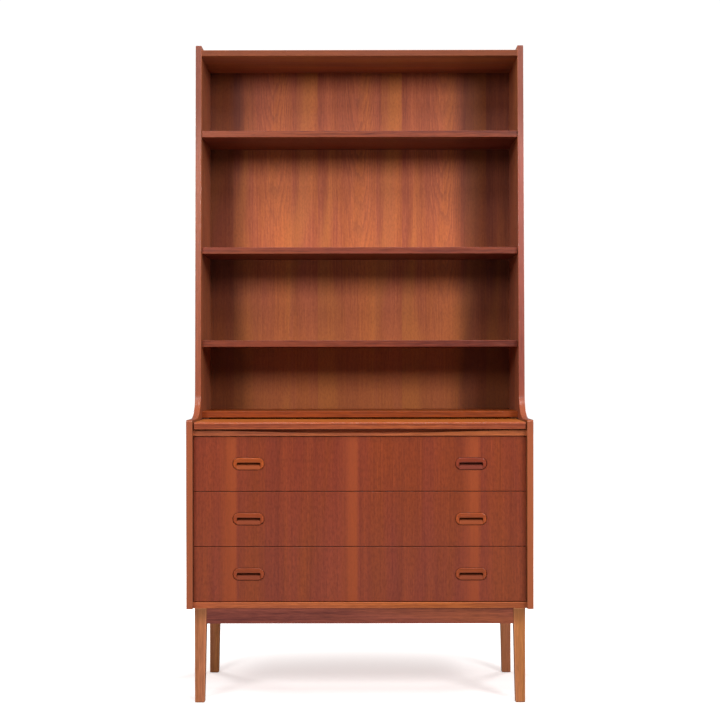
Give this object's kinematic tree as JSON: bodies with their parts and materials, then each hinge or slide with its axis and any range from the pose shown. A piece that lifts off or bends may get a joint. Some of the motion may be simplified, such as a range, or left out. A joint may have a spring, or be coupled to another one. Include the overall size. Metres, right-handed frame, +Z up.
{
  "type": "bookcase with adjustable shelves",
  "caption": "Open bookcase with wire-hung adjustable shelves over a pull-out writing slide, flush drawers with carved pulls and a tapered leg frame.",
  "frame": {"origin": "on the floor, at the middle of the footprint", "axes": "+Z up; the front faces -Y; +X to the right seen from the front"},
  "size_m": [0.9, 0.44, 1.757],
  "materials": {
    "case_teak": "satin oiled teak veneer with solid edges",
    "back_veneer": "oiled teak veneer, upright figured leaves",
    "back_board": "plain brown hardboard",
    "shelf_teak": "satin oiled teak veneer",
    "edge_teak": "satin solid teak",
    "slide_veneer": "satin teak veneer, a little brighter from use",
    "drawer_teak": "satin teak veneer, upright grain running through all the fronts",
    "pull_teak": "carved solid teak, polished by hands",
    "leg_teak": "solid teak, oiled",
    "apron_teak": "solid teak, oiled, darker",
    "drawer_box_wood": "pale hardwood, waxed",
    "drawer_floor_ply": "thin plywood",
    "beech": "plain beech",
    "wire_steel": "bent drawn steel wire",
    "screw_steel": "dull plated steel",
    "glide_plastic": "dark plastic glide"
  },
  "bodies": {
    "case": {"side_left": "case_teak", "side_right": "case_teak", "top_board": "case_teak", "ledge_board": "case_teak", "dust_board": "case_teak", "finger_rail": "edge_teak", "bottom_board": "case_teak", "back_panel_upper": "back_veneer", "back_panel_lower": "back_board", "back_screws": "screw_steel", "case_dowels": "beech", "shelf_lower_wires": "wire_steel", "shelf_middle_wires": "wire_steel", "shelf_upper_wires": "wire_steel", "slide_stop": "beech", "slide_guides": "beech", "drawer_runners_right": "beech", "drawer_runners_left": "beech", "leg_front_right": "leg_teak", "leg_front_left": "leg_teak", "leg_rear_right": "leg_teak", "leg_rear_left": "leg_teak", "apron_front": "apron_teak", "apron_rear": "apron_teak", "apron_right": "apron_teak", "apron_left": "apron_teak", "foot_glides": "glide_plastic", "corner_blocks": "beech", "frame_screws": "screw_steel"},
    "writing_slide": {"writing_slide_board": "slide_veneer", "writing_slide_lipping": "edge_teak", "writing_slide_batten": "beech"},
    "shelf_lower": {"shelf_lower_board": "shelf_teak", "shelf_lower_lipping": "edge_teak"},
    "shelf_middle": {"shelf_middle_board": "shelf_teak", "shelf_middle_lipping": "edge_teak"},
    "shelf_upper": {"shelf_upper_board": "shelf_teak", "shelf_upper_lipping": "edge_teak"},
    "drawer_bottom": {"drawer_bottom_front": "drawer_teak", "drawer_bottom_side_right": "drawer_box_wood", "drawer_bottom_side_left": "drawer_box_wood", "drawer_bottom_back": "drawer_box_wood", "drawer_bottom_floor": "drawer_floor_ply", "drawer_bottom_pull_left": "pull_teak", "drawer_bottom_pull_right": "pull_teak"},
    "drawer_middle": {"drawer_middle_front": "drawer_teak", "drawer_middle_side_right": "drawer_box_wood", "drawer_middle_side_left": "drawer_box_wood", "drawer_middle_back": "drawer_box_wood", "drawer_middle_floor": "drawer_floor_ply", "drawer_middle_pull_left": "pull_teak", "drawer_middle_pull_right": "pull_teak"},
    "drawer_top": {"drawer_top_front": "drawer_teak", "drawer_top_side_right": "drawer_box_wood", "drawer_top_side_left": "drawer_box_wood", "drawer_top_back": "drawer_box_wood", "drawer_top_floor": "drawer_floor_ply", "drawer_top_pull_left": "pull_teak", "drawer_top_pull_right": "pull_teak"}
  },
  "joints": [
    {"name": "shelf_upper_draw", "type": "slide", "parent": "case", "child": "shelf_upper", "axis": [0, -1, 0], "range_m": [0, 0.19]},
    {"name": "shelf_middle_draw", "type": "slide", "parent": "case", "child": "shelf_middle", "axis": [0, -1, 0], "range_m": [0, 0.19]},
    {"name": "shelf_lower_draw", "type": "slide", "parent": "case", "child": "shelf_lower", "axis": [0, -1, 0], "range_m": [0, 0.19]},
    {"name": "writing_slide_pull", "type": "slide", "parent": "case", "child": "writing_slide", "axis": [0, -1, 0], "range_m": [0, 0.16]},
    {"name": "drawer_top_pull", "type": "slide", "parent": "case", "child": "drawer_top", "axis": [0, -1, 0], "range_m": [0, 0.28]},
    {"name": "drawer_middle_pull", "type": "slide", "parent": "case", "child": "drawer_middle", "axis": [0, -1, 0], "range_m": [0, 0.28]},
    {"name": "drawer_bottom_pull", "type": "slide", "parent": "case", "child": "drawer_bottom", "axis": [0, -1, 0], "range_m": [0, 0.28]}
  ]
}
